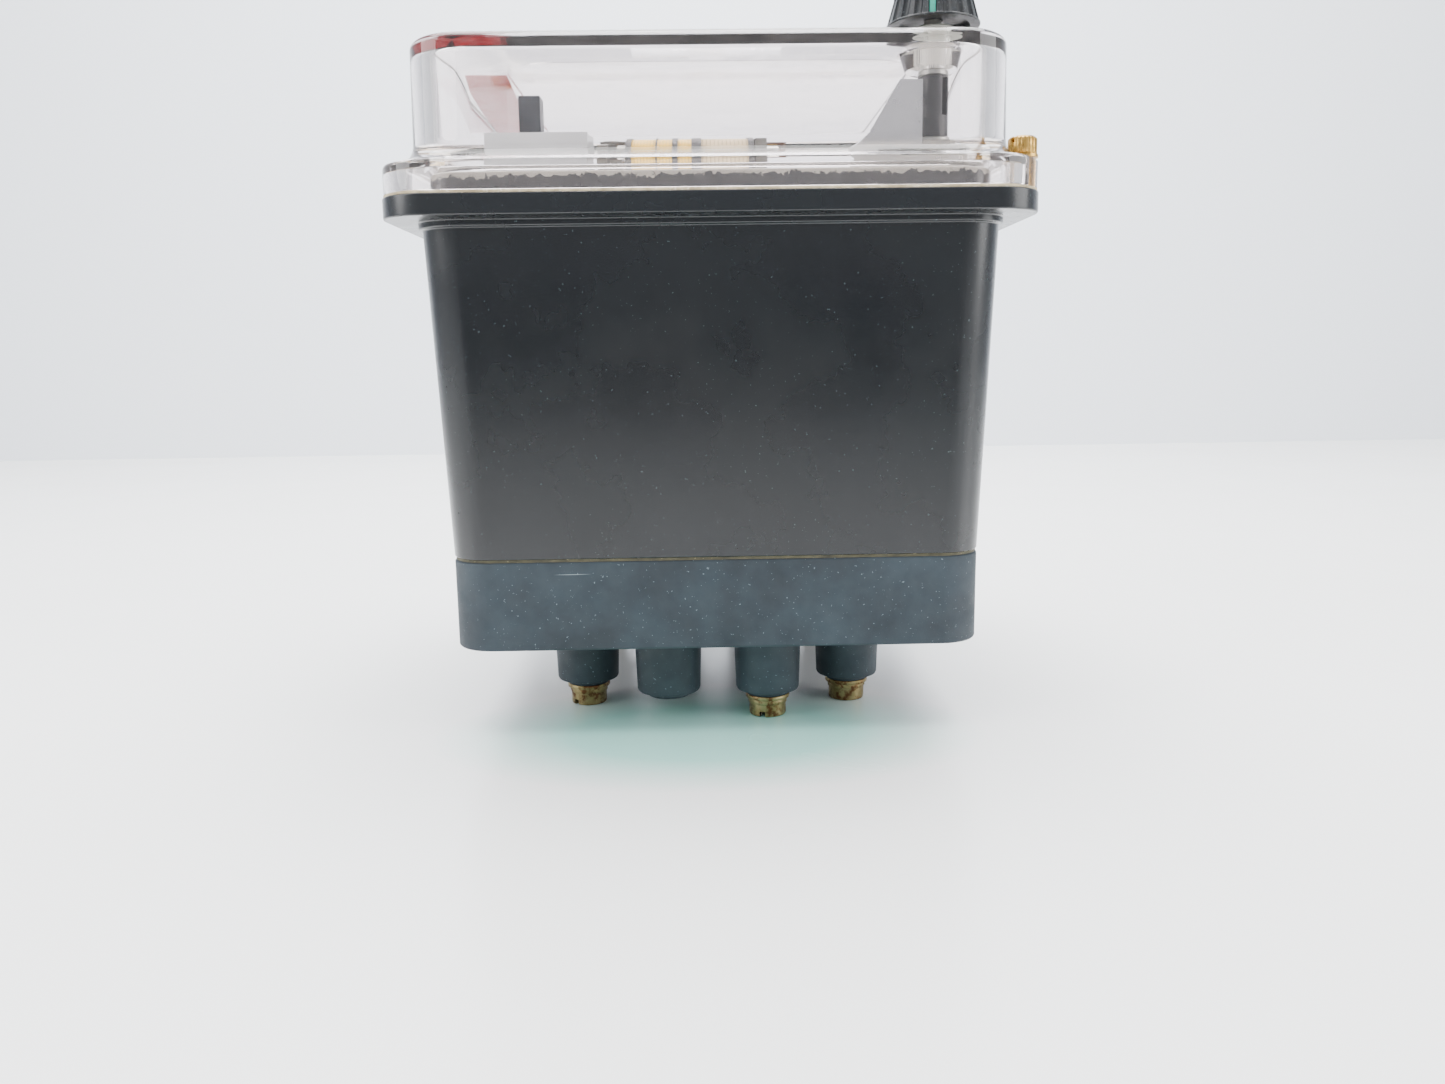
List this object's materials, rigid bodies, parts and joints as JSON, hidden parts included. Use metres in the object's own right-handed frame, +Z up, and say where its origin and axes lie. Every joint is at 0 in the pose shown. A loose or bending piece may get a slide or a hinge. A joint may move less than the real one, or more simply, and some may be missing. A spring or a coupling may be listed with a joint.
{
  "type": "industrial control relay",
  "caption": "Flush-mounting relay: drafted moulded case, clear front cover with setting knob, armature relay inside, round ring of screw terminals at the back.",
  "frame": {"origin": "on the standing plane under the middle of the case, which stands on the heads of its terminal screws", "axes": "+Z up, from the terminals to the clear front cover; +X to the right with the knob at the near right; +Y to the back"},
  "size_m": [0.11, 0.11, 0.1374],
  "materials": {
    "phenolic_case": "semi-gloss",
    "phenolic_base": "matt",
    "clear_acrylic": "clear",
    "cork_gasket": "matt",
    "brass": "satin",
    "zinc_steel": "satin",
    "passivated_steel": "worn",
    "soft_iron": "satin",
    "copper": "satin",
    "aluminium": "satin",
    "yellow_tape": "satin",
    "beige_tape": "satin",
    "black_moulding": "satin",
    "grey_moulding": "satin",
    "brown_laminate": "satin",
    "white_nylon": "satin",
    "red_tape": "embossed",
    "black_knob": "satin",
    "green_line": "satin"
  },
  "bodies": {
    "case": {"case_body": "phenolic_case", "case_inserts": "brass", "cover_inserts": "brass", "base_gasket": "cork_gasket", "terminal_base": "phenolic_base", "base_screws": "zinc_steel", "terminal_bushes": "brass", "terminal_screws": "passivated_steel", "terminal_spring_washers": "zinc_steel", "terminal_washers": "passivated_steel", "terminal_tags": "brass", "terminal_nuts": "brass", "riser_wires": "copper", "chassis_plate": "zinc_steel", "chassis_screws": "zinc_steel", "feed_bushes": "brown_laminate", "yoke": "soft_iron", "yoke_screws": "zinc_steel", "armature_hinge_pin": "zinc_steel", "core": "soft_iron", "core_screw": "zinc_steel", "coil_bobbin": "black_moulding", "main_winding": "yellow_tape", "holding_winding": "beige_tape", "contact_block": "brown_laminate", "fixed_contacts": "brass", "contact_strip_screws": "brass", "contact_block_screws": "zinc_steel", "return_spring": "zinc_steel", "potentiometer_case": "zinc_steel", "resistance_track": "copper", "potentiometer_nut": "zinc_steel", "potentiometer_tags": "brass", "spindle_bracket": "aluminium", "bracket_screws": "zinc_steel", "switch_body": "grey_moulding", "switch_lid": "grey_moulding", "plunger_spring": "zinc_steel", "timing_capacitor": "aluminium", "capacitor_clamp": "zinc_steel", "clamp_screws": "zinc_steel", "cover_gasket": "cork_gasket"},
    "cover": {"clear_cover": "clear_acrylic", "cover_screws": "brass", "cover_washers": "brass", "front_label": "red_tape", "knob_bush": "white_nylon"},
    "knob": {"knob": "black_knob", "knob_index": "green_line", "knob_grub_screw": "zinc_steel", "knob_shaft": "zinc_steel", "shaft_clip": "zinc_steel"},
    "spindle": {"wiper": "brass", "setting_spindle": "zinc_steel", "spindle_coupling": "black_moulding"},
    "armature": {"armature": "soft_iron", "contact_carrier": "brown_laminate", "moving_contacts": "brass"},
    "plunger": {"test_plunger": "black_moulding"}
  },
  "joints": [
    {"name": "cover_lift", "type": "slide", "parent": "case", "child": "cover", "axis": [0, 0, 1], "range_m": [0, 0.045]},
    {"name": "knob_turn", "type": "hinge", "parent": "cover", "child": "knob", "pos_m": [0.0385, -0.0385, 0.1234], "axis": [0, 0, 1], "range_deg": [-135, 135]},
    {"name": "spindle_turn", "type": "hinge", "parent": "case", "child": "spindle", "pos_m": [0.0385, -0.0385, 0.1], "axis": [0, 0, 1], "range_deg": [-135, 135]},
    {"name": "armature_swing", "type": "hinge", "parent": "case", "child": "armature", "pos_m": [-0.0186, -0.0186, 0.0944], "axis": [0, 0, 1], "range_deg": [0, 3.5], "stiffness_Nm_per_rad": 0.05, "springref_deg": -2.86},
    {"name": "plunger_press", "type": "slide", "parent": "case", "child": "plunger", "axis": [0, 0, -1], "range_m": [0, 0.0025], "stiffness_N_per_m": 400, "springref_m": -0.001, "deforming": ["plunger_spring"]}
  ],
  "couplings": [
    {"joint": "spindle_turn", "follows": "knob_turn", "ratio": 1}
  ]
}
